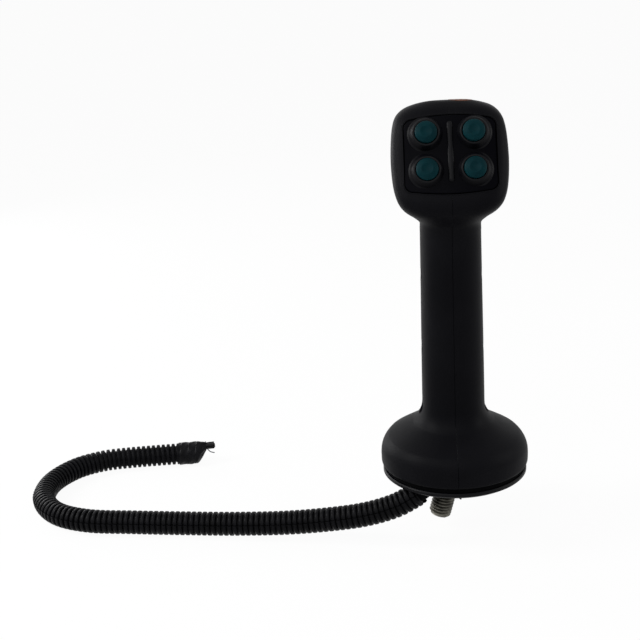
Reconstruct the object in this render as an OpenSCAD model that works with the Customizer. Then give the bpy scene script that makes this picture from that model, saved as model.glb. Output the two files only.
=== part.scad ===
// Multi-button control grip for a machine joystick: a two-part moulded handle with a
// four-button panel, clamped on a core that carries an angled mounting stud, and
// a corrugated conduit for the switch wires.
// The origin is the centre of the stud's seat, +Z runs up the handle, the buttons face -Y.

/* [Handle] */
// Height of the crown above the stud seat
handle_h = 198.4; // [192:0.2:205]
// Distance of the handle's axis from the stud's seat
handle_x = 2.2; // [0:0.1:3]
// Width of the head at its widest
head_w = 57.8; // [56:0.2:61]
// Level at which the head is widest
head_z = 172; // [169:0.5:174]
// Width of the grip just below the head
grip_top_w = 30.8; // [29:0.2:34]
// Width of the grip just above the bell
grip_bottom_w = 32.6; // [31:0.2:36]
// Reach of the grip to the front at its foot
grip_front = 17.2; // [16.5:0.1:19]
// Reach of the grip to the back at its foot
grip_back = 18; // [17:0.1:20]
// Reach of the head to the back
head_back = 19; // [18:0.5:23]
// Wall of the moulded shells
wall = 2.6; // [2:0.1:3.2]
// Opening left at the parting line between the shells
seam_gap = 0.1; // [0.02:0.02:0.3]

/* [Bell] */
// Diameter of the bell's rim
bell_d = 77.6; // [74:0.2:84]
// Height of the upright wall at the rim
rim_h = 5.6; // [3:0.2:8]
// Radius of the bell's shoulder
shoulder_r = 12; // [9:0.5:14]
// Radius of the flare from the bell into the grip
flare_r = 14; // [8:0.5:16]
// Slope at which the shoulder and the flare meet
bell_slope = 60; // [50:1:66]

/* [Base] */
// Diameter of the base plate
plate_d = 76; // [72:0.5:82]
// Thickness of the base plate
plate_t = 2.2; // [2:0.1:4]
// Height of the gasket between the plate and the bell
gasket_h = 3; // [1.5:0.1:4]
// How far the gasket stands back from the plate's edge
gasket_inset = 1.2; // [0.5:0.1:1.6]
// Width of the gasket
gasket_w = 5; // [3:0.5:8]
// Height of the stud seat below the plate
seat_h = 3.5; // [3:0.1:5]
// Diameter of the stud seat
seat_d = 17; // [15:0.5:20]
// Distance from the plate's edge to the middle of a base screw
base_screw_inset = 9; // [8:0.2:10]
// Thread diameter of the base screws
base_screw_d = 3; // [2.5:0.5:4]
// Length of the base screws above the bell's rim
base_screw_l = 8; // [5:0.5:9]
// Head diameter of the base screws
base_head_d = 5.6; // [5:0.2:7]
// Head height of the base screws
base_head_h = 1.8; // [1:0.1:2.4]

/* [Stud and core] */
// Diameter of the mounting stud
stud_d = 12; // [8:1:14]
// Free length of the stud below its seat
stud_free = 24.5; // [15:0.5:30]
// Length of the stud inside the core
stud_grip = 24; // [18:1:26]
// Sideways tilt of the stud from the handle's axis
stud_tilt = 15; // [0:1:18]
// Chamfer on both ends of the stud
stud_chamfer = 1.2; // [0.4:0.1:2]
// Diameter of the core's foot
core_d = 42; // [36:1:46]
// Height of the core's foot
core_foot_h = 7; // [5:0.5:10]
// Diameter of the core's body round the stud
core_body_d = 32; // [28:0.5:33]
// Height of that body above the base plate
core_body_h = 18.5; // [17.5:0.5:19.5]
// Width of the core's post
core_w = 17.6; // [16:0.2:18]
// Depth of the core's post
core_depth = 16.4; // [15:0.2:18]
// Height of the core above the base plate
core_h = 40; // [36:0.5:46]

/* [Side screws] */
// Levels of the screws that hold the shells together
side_screw_z = [39, 73, 111.5];
// Thread diameter of the side screws
side_screw_d = 4; // [3:0.5:4.5]
// Head diameter of the side screws
side_head_d = 7; // [6:0.5:8]
// Head height of the side screws
side_head_h = 2.4; // [2:0.1:3]
// Outer diameter of the screw bosses
boss_d = 10.6; // [10:0.2:12]
// Distance from the parting line to the seat of a screw head or nut
seat_x = 11.2; // [11.2:0.1:11.8]
// Width across the flats of the nuts
nut_flats = 7; // [6:0.5:7.5]
// Thickness of the nuts
nut_t = 3.2; // [2.4:0.1:3.4]

/* [Button panel] */
// Width of the panel
panel_w = 44.6; // [43:0.2:46]
// Height of the panel
panel_h = 39.2; // [38:0.2:41]
// Corner radius of the panel
panel_corner = 5; // [3:0.5:8]
// Radius of the bowed top and bottom edges
panel_bow = 110; // [80:5:200]
// Radius of the panel's crowned face
panel_crown = 150; // [120:5:300]
// Lean of the panel away from upright
panel_lean = 26; // [22:1:30]
// Drop from the top of the handle to the panel's centre
panel_drop = 22.2; // [21:0.2:23]
// Reach of the panel's centre to the front
panel_front = 14.2; // [13.6:0.2:15.2]
// Depth of the panel from its crown to its back
panel_t = 5.2; // [4.8:0.1:6]
// Thickness of the panel's face
panel_skin = 2.6; // [2:0.1:3]
// Width of the lip that holds the panel in the shells
lip_w = 1.8; // [1.2:0.1:2.2]
// Thickness of that lip
lip_t = 1.2; // [0.8:0.1:1.6]
// Gap all round the panel
panel_gap = 0.4; // [0.2:0.05:0.6]
// Width of the dividing rib
rib_w = 2.2; // [1.4:0.1:3]
// Length of the dividing rib
rib_l = 29; // [20:0.5:33]
// Height of the dividing rib
rib_h = 1.1; // [0.6:0.1:2]

/* [Buttons] */
// Distance between the button columns
button_pitch_x = 23; // [22:0.1:24.6]
// Distance between the button rows
button_pitch_y = 18.4; // [17.6:0.1:19]
// Diameter of a button cap
cap_d = 10.8; // [10:0.1:11.2]
// Gap round a cap
cap_gap = 0.3; // [0.2:0.05:0.5]
// Height of a cap's straight side above the panel
cap_rise = 3.9; // [3.4:0.1:5]
// Height of a cap's dome
cap_dome = 1.5; // [1:0.1:2.4]
// Diameter of the dish in a cap
dish_d = 5.6; // [4:0.2:7]
// Depth of the dish
dish_depth = 0.5; // [0.2:0.1:0.7]
// Diameter of a cap's retaining flange
cap_flange_d = 13.2; // [12.6:0.1:14.6]
// Thickness of that flange
cap_flange_t = 1; // [0.8:0.1:1.4]
// Travel of a button
button_travel = 2; // [1:0.1:2.2]
// Height of a collar round a button
collar_h = 3.1; // [2:0.1:3.4]
// Diameter at the foot of a collar
collar_foot_d = 15.6; // [15:0.1:17.4]
// Diameter at the rim of a collar
collar_rim_d = 12.8; // [12.6:0.1:14]
// Diameter of the stem below a cap
stem_d = 3.6; // [3:0.1:4]
// Running clearance of the stem in its switch
stem_fit = 0.08; // [0.04:0.01:0.1]
// Length of a return spring at rest
spring_l = 4.6; // [4.2:0.1:5.5]
// Wire diameter of a return spring
spring_wire = 0.6; // [0.4:0.05:0.7]
// Mean diameter of a return spring
spring_d = 6.4; // [5.4:0.1:7]
// Turns of a return spring
spring_turns = 3; // [2:0.5:3]

/* [Switches and board] */
// Side of a switch housing
switch_w = 12; // [11:0.2:13]
// Height of a switch housing
switch_h = 7.5; // [6.8:0.1:9]
// Length of the stem inside a switch at rest
stem_in = 2.4; // [1.5:0.1:2.8]
// Diameter of a switch terminal
terminal_d = 1; // [0.8:0.1:1.2]
// Distance between the terminals of a switch
terminal_pitch = 6.5; // [5:0.5:8]
// Width of the circuit board
board_w = 37; // [36:0.5:38]
// Height of the circuit board
board_h = 35; // [34:0.5:36]
// Thickness of the circuit board
board_t = 1.6; // [1:0.1:2]
// Distance between the board's screw posts
post_pitch = 12; // [8:0.5:13]
// Diameter of the posts
post_d = 5; // [4.5:0.1:6]
// Diameter of the board screws
board_screw_d = 2; // [1.6:0.1:2.5]

/* [Conduit and wires] */
// Outside diameter of the corrugated conduit
hose_d = 13; // [10:0.5:14]
// Diameter of the outlet where it leaves the plate
outlet_d = 12.6; // [12:0.2:14]
// Diameter of the wire bundle in the handle
harness_d = 4.8; // [4:0.2:5.2]
// Length of the taped end of the conduit
tape_l = 17; // [12:1:30]
// Thickness of the tape wrap
tape_t = 0.5; // [0.3:0.1:1]
// Length of the wires that stick out of the tape
wires_l = 5; // [4:1:12]
// Diameter of the bundle of loose wires
wires_d = 6; // [4:0.5:9]

/* [Hidden] */

$fn = 64;
hair = 0.01;
fit_gap = 0.3;
corner_sides = 24;

black = [0.09, 0.09, 0.10];
teal = [0.05, 0.42, 0.44];
zinc = [0.75, 0.74, 0.70];
copper = [0.78, 0.50, 0.22];

// Levels of the stack at the foot
plate_z0 = seat_h;
plate_z1 = plate_z0 + plate_t;
bell_z0 = plate_z1 + gasket_h;
rim_z1 = bell_z0 + rim_h;
bell_r = bell_d / 2;
grip_r = grip_bottom_w / 2;
flare_start_r = grip_r + flare_r * (1 - cos(bell_slope));
shoulder_end_r = bell_r - shoulder_r * (1 - cos(bell_slope));
straight_h = (shoulder_end_r - flare_start_r) / tan(bell_slope);
flare_z0 = rim_z1 + shoulder_r * sin(bell_slope) + straight_h;
flare_z1 = flare_z0 + flare_r * sin(bell_slope);

// The handle is lofted through level sections:
// [level, half width, reach to the front, reach to the back, squareness]
round_section = 2;
grip_square = 2.3;
head_square = 4.5;
face_slope = tan(panel_lean);
function face_y(z) = panel_front - (z - panel_z) * face_slope;
function bell_section(z, r) =
    let (k = max(0, min(1, (z - rim_z1) / (flare_z1 - rim_z1))))
    [z, r, r + (grip_front - grip_r) * k, r + (grip_back - grip_r) * k,
     round_section + (grip_square - round_section) * k];
bell_sections = concat(
    [bell_section(bell_z0, bell_r - 0.4)],
    [for (a = [0:15:bell_slope])
        bell_section(rim_z1 + shoulder_r * sin(a), bell_r - shoulder_r * (1 - cos(a)))],
    [for (a = [bell_slope:-15:0])
        bell_section(flare_z1 - flare_r * sin(a), grip_r + flare_r * (1 - cos(a)))]);

head_r = head_w / 2;
head_up = handle_h - head_z;
panel_z = handle_h - panel_drop;
grip_top_r = grip_top_w / 2;
grip_sections = [
    [75, grip_top_r + 0.6, grip_front - 0.1, grip_back - 0.2, grip_square],
    [110, grip_top_r + 0.2, grip_front - 0.3, grip_back - 0.4, grip_square],
    [134, grip_top_r, grip_front, grip_back - 0.4, grip_square],
    [139.5, grip_top_r + 0.2, grip_front + 1.6, grip_back - 0.4, 2.5],
    [143, grip_top_r + 3.2, grip_front + 4.6, grip_back - 0.3, 2.7],
    [146.5, head_r - 6, grip_front + 7.6, grip_back - 0.1, 3.1],
    [150, head_r - 3.4, face_y(150) - 1.2, grip_back + 0.2, 3.7]
];
// Level, narrowing, set-back from the face's plane, set-in of the back, squareness
head_rows = [
    [154, 1.8, 0, 0.4, 4.2],
    [159, 0.7, 0, 0.1, head_square],
    [165.5, 0.1, 0, 0, head_square],
    [head_z, 0, 0, 0, head_square],
    [head_z + head_up * 0.32, 0.5, 0, 0, head_square],
    [head_z + head_up * 0.53, 1.3, 0, 0.3, 4.3],
    [head_z + head_up * 0.68, 2.6, 0.1, 1, 4],
    [head_z + head_up * 0.79, 4.9, 0.6, 2.1, 3.6],
    [head_z + head_up * 0.88, 8.4, 1.6, 4.6, 3.1],
    [head_z + head_up * 0.95, 13.8, 3.4, 7.8, 2.6],
    [head_z + head_up * 0.99, 19, 5.2, 11.4, 2.2],
    [handle_h, 22.5, 7.4, 14.8, 2]
];
head_sections = [for (h = head_rows) [h[0], head_r - h[1], face_y(h[0]) - h[2], head_back - h[3], h[4]]];
outer_sections = concat(bell_sections, grip_sections, head_sections);

// The cavity lies one wall further in, is open at the foot, and ends below the crown
function inset(s, front_wall) = [s[0], s[1] - wall, s[2] - front_wall, s[3] - wall, s[4]];
inner_sections = concat(
    [bell_section(bell_z0 - 2, bell_r - wall)],
    [for (a = [0:20:bell_slope])
        bell_section(rim_z1 + (shoulder_r - wall) * sin(a),
            bell_r - shoulder_r + (shoulder_r - wall) * cos(a))],
    [for (a = [bell_slope:-20:0])
        bell_section(flare_z1 - (flare_r + wall) * sin(a), grip_r + flare_r - (flare_r + wall) * cos(a))],
    [for (s = grip_sections) inset(s + [1, 0, 0, 0, 0], wall)],
    [for (i = [0:6]) inset(head_sections[i], wall / cos(panel_lean))]);

// Catmull-Rom curve through a list of rows
function spline_row(rows, i, t) =
    let (n = len(rows) - 1,
         p0 = rows[max(0, i - 1)], p1 = rows[i], p2 = rows[min(n, i + 1)], p3 = rows[min(n, i + 2)])
    0.5 * (2 * p1 + (p2 - p0) * t + (2 * p0 - 5 * p1 + 4 * p2 - p3) * t * t
        + (3 * p1 - p0 - 3 * p2 + p3) * t * t * t);
function refine(rows, steps) = concat(
    [for (i = [0:len(rows) - 2]) for (k = [0:steps - 1]) spline_row(rows, i, k / steps)],
    [rows[len(rows) - 1]]);
function signed_power(v, p) = sign(v) * pow(abs(v), p);
function section_point(s, angle) =
    let (c = cos(angle), d = sin(angle), middle = (s[3] - s[2]) / 2, half = (s[3] + s[2]) / 2)
    [s[1] * signed_power(c, 2 / s[4]), middle + half * signed_power(d, 2 / s[4]), s[0]];
// Even steps along a superellipse need angles that thin out at its flat sides
angle_thinning = 0.066;
function section_angle(k, sides) =
    let (quarter = sides / 4, q = floor(k / quarter), t = (k - q * quarter) / quarter)
    90 * (q + t - angle_thinning * sin(360 * t));

// Solid skin through the sections
module loft(sections, sides) {
    points = [for (s = sections) for (k = [0:sides - 1]) section_point(s, section_angle(k, sides))];
    last = (len(sections) - 1) * sides;
    walls = [for (i = [0:len(sections) - 2]) for (k = [0:sides - 1])
        let (a = i * sides + k, b = i * sides + (k + 1) % sides)
        each [[a, a + sides, b], [b, a + sides, b + sides]]];
    ends = [[for (k = [0:sides - 1]) k], [for (k = [sides - 1:-1:0]) last + k]];
    polyhedron(points = points, faces = concat(walls, ends));
}

// Place of the panel: its face looks forward and up
module on_panel() {
    translate([handle_x, -panel_front, panel_z]) rotate([90 - panel_lean, 0, 0]) children();
}

// The two shells are drawn about the handle's axis, so that one can mirror the other
module off_handle() {
    translate([-handle_x, 0, 0]) children();
}

// Place of what stands on the handle's axis
module on_handle() {
    translate([handle_x, 0, 0]) children();
}

button_places = [
    [-button_pitch_x / 2, button_pitch_y / 2], [button_pitch_x / 2, button_pitch_y / 2],
    [-button_pitch_x / 2, -button_pitch_y / 2], [button_pitch_x / 2, -button_pitch_y / 2]
];
post_places = [[0, post_pitch / 2], [0, -post_pitch / 2]];
cap_bore_d = cap_d + 2 * cap_gap;
tube_d = cap_bore_d + 3.6;
flange_back = -panel_t - cap_flange_t;
collar_sink = 0.8;
screw_fit = 0.05;
stud_fit = 0.05;
shank_d = stud_d - 0.8;
spring_seat = 0.05;
board_screw_l = 5;
screw_end = 0.6;
terminal_free = 2.2;
connector_w = 12;
connector_h = 7;
connector_t = 6;
plate_edge = 0.5;
switch_top = flange_back - spring_l;
board_top = switch_top - switch_h;
board_back = board_top - board_t;

module rounded_rect(w, h, r) {
    square([w - 2 * r, h], center = true);
    square([w, h - 2 * r], center = true);
    for (x = [-1, 1]) for (y = [-1, 1])
        translate([x * (w / 2 - r), y * (h / 2 - r)]) circle(r = r);
}

// Outline of the panel, let out by grow on every side
module panel_outline(grow) {
    bow_centre = panel_bow - panel_h / 2;
    intersection() {
        rounded_rect(panel_w + 2 * grow, panel_h + 2 * grow, panel_corner + grow);
        translate([0, -bow_centre]) circle(r = panel_bow + grow, $fn = 180);
        translate([0, bow_centre]) circle(r = panel_bow + grow, $fn = 180);
    }
}

// Everything behind a crown that curves from side to side
module under_crown(raise) {
    translate([0, 0, raise - panel_crown]) rotate([90, 0, 0])
        cylinder(r = panel_crown, h = 2 * panel_h, center = true, $fn = 240);
}

// Routes of the conduit and of the wires in the handle
hose_points = [
    [-19, -20, -2.4], [-30, -19.5, -8.8], [-46, -17.5, -14.5], [-66, -14, -18.8],
    [-90, -10.5, -22], [-118, -7, -23.7], [-146, -4.5, -24], [-174, -2, -24],
    [-200, 1, -24], [-220, 10.5, -24], [-232.5, 28.5, -24], [-234, 50.5, -24],
    [-225, 70, -24], [-210.5, 81, -24], [-193, 85.5, -24], [-163, 89.5, -24]
];
harness_points = [
    [handle_x, -0.5, panel_z - 27.7], [handle_x, -3, panel_z - 34.2], [handle_x, -8.4, 131], [handle_x, -10.4, 120],
    [handle_x, -10.5, 84], [handle_x, -10.6, 54], [handle_x - 0.5, -11.5, 43], [handle_x - 3, -13, 34],
    [handle_x - 6, -15, 30], [handle_x - 10, -17.6, 25.5], [-13, -19.6, 17],
    [-15.8, -20, 11], [-15.8, -20, 2]
];
hose_path = refine(hose_points, 3);
hose_start_dir = tangent(hose_path, 0);
hose_turn = atan2(hose_start_dir[1], hose_start_dir[0]);
hose_dip = -asin(hose_start_dir[2]);
hose_end = hose_points[len(hose_points) - 1];
tail_dir = tangent(hose_path, len(hose_path) - 1);
tail_turn = atan2(tail_dir[1], tail_dir[0]);
outlet_stub = 4.6;
outlet_place = hose_points[0] - outlet_stub * hose_start_dir;
outlet_rim = 0.6;
outlet_end_d = outlet_d - 1.2;
wire_hole_d = 9;
tape_neck = 4;

boss_r = boss_d / 2;
web_rise = 9;
web_t = 1.6;
grip_rib_z = [54, 90];
grip_rib_rise = 3;
grip_rib_h = 1.2;
frame_t = 2.4;
lip_play = 0.1;
screw_hole_r = side_screw_d / 2 + fit_gap;
head_pocket_r = side_head_d / 2 + fit_gap;
nut_pocket_d = nut_flats / cos(30) + 2 * fit_gap;
core_top = plate_z1 + core_h;
base_boss_d = 8;
base_screw_r = plate_d / 2 - base_screw_inset;
base_screw_angles = [25, 155, 205, 335];

// Flat triangular web that runs from one level edge to another
module web(x0, x1, y, z0, z1, t) {
    hull() {
        translate([x0, y - t / 2, z0]) cube([x1 - x0, t, hair]);
        translate([x1 - hair, y - t / 2, z1]) cube([hair, t, hair]);
    }
}

// Inner features of one shell, on the +X side, before they are cut to the outside
module shell_inside() {
    for (z = side_screw_z)
        let (inner = z < core_top ? core_w / 2 + fit_gap : 0)
        translate([inner, 0, z]) rotate([0, 90, 0]) cylinder(r = boss_r, h = grip_r, $fn = 32);
    // Webs brace each boss against the wall of the grip, above and below
    for (z = side_screw_z) for (s = [-1, 1])
        web(core_w / 2 + fit_gap, grip_r, 0, z + s * (boss_r - 1), z + s * (boss_r + web_rise), web_t);
    // Ribs stiffen the front and back walls of the grip
    for (z = grip_rib_z) for (y = [-grip_front, grip_back])
        web(seam_gap, grip_r, y, z, z + grip_rib_rise, 2 * (wall + grip_rib_h));
    for (a = base_screw_angles)
        if (cos(a) > 0)
            translate([cos(a) * base_screw_r, sin(a) * base_screw_r, bell_z0])
                cylinder(d = base_boss_d, h = bell_r, $fn = 24);
    // Frame that the panel seats in
    off_handle() on_panel() translate([0, 0, -panel_t - frame_t])
        linear_extrude(panel_t + frame_t) panel_outline(lip_w + frame_t, $fn = corner_sides);
}

module shell_half(screw_side) {
    intersection() {
        translate([seam_gap / 2, -bell_d, 0]) cube([bell_d, 2 * bell_d, 2 * handle_h]);
        difference() {
            loft(refine(outer_sections, 2), 40);
            difference() {
                loft(refine(inner_sections, 1), 32);
                shell_inside();
            }
            // Opening for the panel and the groove for its lip
            off_handle() on_panel() translate([0, 0, -panel_t - 2 * frame_t])
                linear_extrude(4 * panel_t) panel_outline(panel_gap, $fn = corner_sides);
            off_handle() on_panel() translate([0, 0, -panel_t - lip_play])
                linear_extrude(lip_t + 2 * lip_play)
                    panel_outline(lip_w + panel_gap, $fn = corner_sides);
            // Side screws: a round pocket for the head, a hexagonal one for the nut
            for (z = side_screw_z) translate([0, 0, z]) rotate([0, 90, 0]) {
                translate([0, 0, -1]) cylinder(r = screw_hole_r, h = bell_d, $fn = 24);
                translate([0, 0, seat_x])
                    if (screw_side) cylinder(r = head_pocket_r, h = bell_d, $fn = 32);
                    else cylinder(d = nut_pocket_d, h = bell_d, $fn = 6);
            }
            for (a = base_screw_angles)
                translate([cos(a) * base_screw_r, sin(a) * base_screw_r, bell_z0 - 1])
                    cylinder(d = base_screw_d + 2 * fit_gap, h = base_screw_l + 2, $fn = 24);
        }
    }
}

module left_shell() {
    color(black) on_handle() mirror([1, 0, 0]) shell_half(true);
}

module right_shell() {
    color(black) on_handle() shell_half(false);
}

// A place behind the panel, at one button
module at_button(i) {
    on_panel() translate([button_places[i][0], button_places[i][1], 0]) children();
}

module button_panel() {
    color(black) on_panel() difference() {
        union() {
            difference() {
                intersection() {
                    translate([0, 0, -panel_t]) linear_extrude(2 * panel_t) panel_outline(0);
                    under_crown(0);
                }
                translate([0, 0, -2 * panel_t]) linear_extrude(2 * panel_t - panel_skin)
                    panel_outline(-lip_w);
            }
            translate([0, 0, -panel_t]) linear_extrude(lip_t) difference() {
                panel_outline(lip_w);
                panel_outline(-lip_w);
            }
            for (p = button_places) translate([p[0], p[1], 0]) {
                translate([0, 0, -panel_t]) cylinder(d = tube_d, h = panel_t - panel_skin + 1);
                translate([0, 0, -collar_sink])
                    cylinder(d1 = collar_foot_d, d2 = collar_rim_d, h = collar_h + collar_sink);
            }
            intersection() {
                translate([0, 0, -panel_skin]) linear_extrude(2 * panel_t) {
                    square([rib_w, rib_l - rib_w], center = true);
                    for (y = [-1, 1]) translate([0, y * (rib_l - rib_w) / 2]) circle(d = rib_w);
                }
                under_crown(rib_h);
            }
            for (p = post_places) translate([p[0], p[1], board_top])
                cylinder(d = post_d, h = -board_top - panel_skin + 1);
        }
        for (p = button_places) translate([p[0], p[1], -2 * panel_t])
            cylinder(d = cap_bore_d, h = 4 * panel_t);
        for (p = post_places) translate([p[0], p[1], board_top - 1])
            cylinder(d = board_screw_d + 2 * screw_fit, h = board_screw_l + 2);
    }
}

// Cap with a domed and dished top, a flange that keeps it behind the panel, and a stem
module button_cap(i) {
    dome_r = (pow(cap_d / 2, 2) + pow(cap_dome, 2)) / (2 * cap_dome);
    dish_r = (pow(dish_d / 2, 2) + pow(dish_depth, 2)) / (2 * dish_depth);
    top = cap_rise + cap_dome;
    dish_rim = top - dome_r + sqrt(pow(dome_r, 2) - pow(dish_d / 2, 2));
    color(teal) at_button(i) difference() {
        union() {
            intersection() {
                translate([0, 0, -panel_t - hair]) cylinder(d = cap_d, h = panel_t + top + 1);
                translate([0, 0, top - dome_r]) sphere(r = dome_r);
            }
            translate([0, 0, flange_back]) cylinder(d = cap_flange_d, h = cap_flange_t);
            translate([0, 0, switch_top - stem_in])
                cylinder(d = stem_d, h = stem_in + spring_l + cap_flange_t);
        }
        translate([0, 0, dish_rim - dish_depth + dish_r]) sphere(r = dish_r);
    }
}

function unit(v) = v / norm(v);
function tangent(path, i) = unit(path[min(i + 1, len(path) - 1)] - path[max(i - 1, 0)]);
function ring(path, i, r, sides, side_dir) =
    let (t = tangent(path, i), u = unit(cross(t, side_dir)), v = cross(t, u))
    [for (k = [0:sides - 1]) path[i] + r * (cos(360 * k / sides) * u + sin(360 * k / sides) * v)];

// Round tube along a path; side_dir is a direction that the path never takes
module sweep(path, r, sides, side_dir) {
    points = [for (i = [0:len(path) - 1]) each ring(path, i, r, sides, side_dir)];
    last = (len(path) - 1) * sides;
    walls = [for (i = [0:len(path) - 2]) for (k = [0:sides - 1])
        let (a = i * sides + k, b = i * sides + (k + 1) % sides)
        each [[a, b, a + sides], [b, b + sides, a + sides]]];
    ends = [[for (k = [sides - 1:-1:0]) k], [for (k = [0:sides - 1]) last + k]];
    polyhedron(points = points, faces = concat(walls, ends));
}

module return_spring(i) {
    steps = 10;
    rise = spring_l - spring_wire - 2 * spring_seat;
    color(zinc) at_button(i) sweep(
        [for (k = [0:spring_turns * steps])
            [spring_d / 2 * cos(360 * k / steps), spring_d / 2 * sin(360 * k / steps),
             switch_top + spring_seat + spring_wire / 2 + rise * k / (spring_turns * steps)]],
        spring_wire / 2, 6, [0, 0, 1]);
}

module switch_housings() {
    color([0.16, 0.16, 0.17]) for (i = [0:3]) at_button(i) difference() {
        translate([-switch_w / 2, -switch_w / 2, board_top]) cube([switch_w, switch_w, switch_h]);
        translate([0, 0, switch_top - stem_in - button_travel - fit_gap])
            cylinder(d = stem_d + 2 * stem_fit, h = switch_h);
    }
}

module switch_terminals() {
    color(copper) for (i = [0:3]) for (x = [-1, 1])
        at_button(i) translate([x * terminal_pitch / 2, 0, board_back - terminal_free])
            cylinder(d = terminal_d, h = terminal_free + board_t, $fn = 24);
}

module switch_board() {
    color([0.10, 0.32, 0.18]) on_panel() difference() {
        translate([-board_w / 2, -board_h / 2, board_back]) cube([board_w, board_h, board_t]);
        for (p = button_places) for (x = [-1, 1])
            translate([p[0] + x * terminal_pitch / 2, p[1], board_back - 1])
                cylinder(d = terminal_d + 2 * screw_fit, h = board_t + 2, $fn = 24);
        for (p = post_places) translate([p[0], p[1], board_back - 1])
            cylinder(d = board_screw_d + 2 * screw_fit, h = board_t + 2, $fn = 24);
    }
}

module board_screws() {
    color(zinc) on_panel() for (p = post_places) translate([p[0], p[1], board_back]) {
        translate([0, 0, -board_screw_d * 0.6]) cylinder(d = 2 * board_screw_d, h = board_screw_d * 0.6);
        translate([0, 0, -hair]) cylinder(d = board_screw_d, h = board_t + board_screw_l, $fn = 24);
    }
}

// Plug on the board's foot, where the wires leave it
module board_connector() {
    color([0.85, 0.84, 0.78]) on_panel()
        translate([-connector_w / 2, -board_h / 2, board_back - connector_t])
            cube([connector_w, connector_h, connector_t]);
}

module shell_screws() {
    color(zinc) on_handle() for (z = side_screw_z) translate([0, 0, z]) rotate([0, 90, 0]) {
        translate([0, 0, -seat_x - side_head_h]) cylinder(d = side_head_d, h = side_head_h);
        translate([0, 0, -seat_x - hair])
            cylinder(d = side_screw_d, h = 2 * seat_x + nut_t + screw_end);
    }
}

module shell_nuts() {
    color(zinc) on_handle() for (z = side_screw_z) translate([seat_x, 0, z]) rotate([0, 90, 0]) difference() {
        cylinder(d = nut_flats / cos(30), h = nut_t, $fn = 6);
        translate([0, 0, -1]) cylinder(d = side_screw_d + 2 * screw_fit, h = nut_t + 2);
    }
}

// A place on the stud's axis: +Z runs up into the core
module on_stud() {
    rotate([0, stud_tilt, 0]) children();
}

module clamp_core() {
    color([0.62, 0.63, 0.65]) difference() {
        on_handle() translate([0, 0, plate_z1]) {
            cylinder(d = core_d, h = core_foot_h);
            cylinder(d = core_body_d, h = core_body_h);
            translate([-core_w / 2, -core_depth / 2, 0]) cube([core_w, core_depth, core_h]);
        }
        on_stud() translate([0, 0, -seat_h])
            cylinder(d = shank_d + 2 * stud_fit, h = seat_h + stud_grip + fit_gap);
        translate([-core_d, 0, side_screw_z[0]]) rotate([0, 90, 0])
            cylinder(r = screw_hole_r, h = 2 * core_d);
    }
}

module mounting_stud() {
    color(zinc) on_stud() {
        translate([0, 0, -stud_free + stud_chamfer]) cylinder(d = stud_d, h = stud_free - stud_chamfer);
        cylinder(d = shank_d, h = stud_grip - stud_chamfer);
        translate([0, 0, -stud_free])
            cylinder(d1 = stud_d - 2 * stud_chamfer, d2 = stud_d, h = stud_chamfer);
        translate([0, 0, stud_grip - stud_chamfer])
            cylinder(d1 = shank_d, d2 = shank_d - 2 * stud_chamfer, h = stud_chamfer);
    }
}

module base_gasket() {
    color([0.05, 0.05, 0.05]) translate([handle_x, 0, plate_z1]) difference() {
        cylinder(d = plate_d - 2 * gasket_inset, h = gasket_h, $fn = 96);
        translate([0, 0, -1]) cylinder(d = plate_d - 2 * gasket_inset - 2 * gasket_w,
            h = gasket_h + 2, $fn = 96);
    }
}

module base_plate() {
    color(black) difference() {
        union() {
            on_handle() rotate_extrude($fn = 120) polygon([
                [0, plate_z0], [plate_d / 2 - plate_edge, plate_z0], [plate_d / 2, plate_z0 + plate_edge],
                [plate_d / 2, plate_z1 - plate_edge], [plate_d / 2 - plate_edge, plate_z1], [0, plate_z1]]);
            // Seat whose face stands square to the stud
            intersection() {
                on_stud() cylinder(d = seat_d, h = 2 * seat_d);
                translate([-seat_d, -seat_d, -seat_d]) cube([2 * seat_d, 2 * seat_d, seat_d + plate_z1]);
            }
        }
        on_stud() translate([0, 0, -seat_h])
            cylinder(d = stud_d + 2 * fit_gap, h = 2 * seat_d);
        translate([outlet_place[0], outlet_place[1], plate_z0 - 1])
            cylinder(d = wire_hole_d, h = plate_t + 2);
        on_handle() for (a = base_screw_angles)
            translate([cos(a) * base_screw_r, sin(a) * base_screw_r, plate_z0 - 1])
                cylinder(d = base_screw_d + 2 * fit_gap, h = plate_t + 2);
    }
}

module base_screws() {
    color(zinc) on_handle() for (a = base_screw_angles)
        translate([cos(a) * base_screw_r, sin(a) * base_screw_r, plate_z0]) {
            translate([0, 0, -base_head_h]) cylinder(d = base_head_d, h = base_head_h);
            translate([0, 0, -hair])
                cylinder(d = base_screw_d, h = plate_t + gasket_h + base_screw_l, $fn = 32);
        }
}

// A place at the conduit's near end: +Z runs on along it
module at_hose_start() {
    translate(hose_points[0]) rotate([0, 0, hose_turn]) rotate([0, 90 + hose_dip, 0]) children();
}

// Short elbow that runs from the plate's underside into the conduit's near end
module elbow(top_d, end_d, reach) {
    hull() {
        translate([outlet_place[0], outlet_place[1], plate_z0 - outlet_rim])
            cylinder(d = top_d, h = outlet_rim + reach, $fn = 40);
        at_hose_start() translate([0, 0, -outlet_rim])
            cylinder(d = end_d, h = outlet_rim + reach, $fn = 40);
    }
}

module conduit_outlet() {
    color(black) difference() {
        elbow(outlet_d, outlet_end_d, 0);
        elbow(wire_hole_d, wire_hole_d, outlet_rim);
    }
}

module wiring_harness() {
    color([0.13, 0.13, 0.14]) sweep(refine(harness_points, 3), harness_d / 2, 10, [1, 0, 0]);
}

module conduit_hose() {
    color([0.06, 0.06, 0.06]) sweep(hose_path, hose_d / 2, 12, [0, 0, 1]);
}

// A place at the conduit's far end: +Z runs on along it
module at_hose_end() {
    translate(hose_end) rotate([0, 0, tail_turn]) rotate([0, 90, 0]) children();
}

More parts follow.
